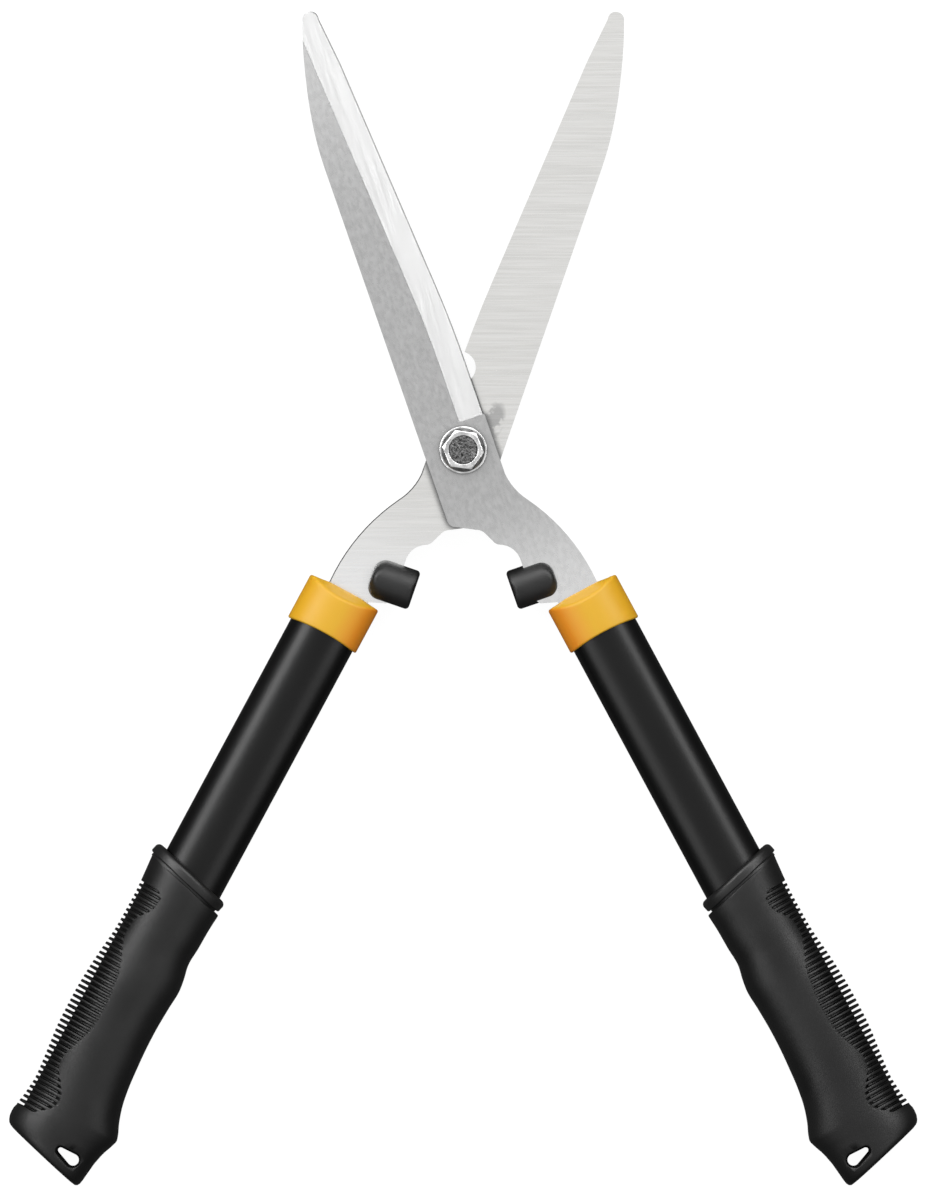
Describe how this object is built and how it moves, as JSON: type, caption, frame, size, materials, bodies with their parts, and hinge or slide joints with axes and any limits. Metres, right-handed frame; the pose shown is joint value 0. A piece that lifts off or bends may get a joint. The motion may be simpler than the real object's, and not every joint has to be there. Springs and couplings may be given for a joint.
{
  "type": "hedge shears",
  "caption": "Hedge shears: straight bevelled blades on a pivot bolt, rubber bumpers, collared oval tube handles and ribbed grips with hanging holes.",
  "frame": {"origin": "on the resting plane, under the middle of the half-open outline; the pivot bolt is 66.2 mm from it towards the blade tips", "axes": "+X to the right seen from the nut side, +Y towards the blade tips, +Z along the pivot bolt towards the nut"},
  "size_m": [0.402, 0.5187, 0.03],
  "materials": {
    "blade_steel": "rolled and ground steel, satin",
    "bumper_rubber": "black rubber, satin",
    "collar_plastic": "orange-yellow moulded plastic, semi-gloss",
    "tube_coating": "black coating, satin",
    "insert_plastic": "black nylon",
    "pin_steel": "plain steel",
    "grip_hard": "black moulded plastic, fine grain",
    "grip_soft": "black soft overmould, matte",
    "bolt_steel": "blackened steel, rough end",
    "nut_zinc": "bright zinc plate",
    "spring_steel": "dark spring steel"
  },
  "bodies": {
    "lower_half": {"lower_blade": "blade_steel", "lower_bumper": "bumper_rubber", "lower_collar": "collar_plastic", "lower_tube": "tube_coating", "lower_tang_insert_front": "insert_plastic", "lower_tang_insert_back": "insert_plastic", "lower_tang_pin": "pin_steel", "lower_grip_core": "grip_hard", "lower_grip_cover": "grip_soft", "pivot_bolt": "bolt_steel", "pivot_washer": "nut_zinc", "spring_washer": "spring_steel", "pivot_nut": "nut_zinc"},
    "upper_half": {"upper_blade": "blade_steel", "upper_bumper": "bumper_rubber", "upper_collar": "collar_plastic", "upper_tube": "tube_coating", "upper_tang_insert_front": "insert_plastic", "upper_tang_insert_back": "insert_plastic", "upper_tang_pin": "pin_steel", "upper_grip_core": "grip_hard", "upper_grip_cover": "grip_soft"}
  },
  "joints": [
    {"name": "blade_pivot", "type": "hinge", "parent": "lower_half", "child": "upper_half", "pos_m": [0, 0.0662, 0.015], "axis": [0, 0, 1], "range_deg": [-38, 98]}
  ]
}
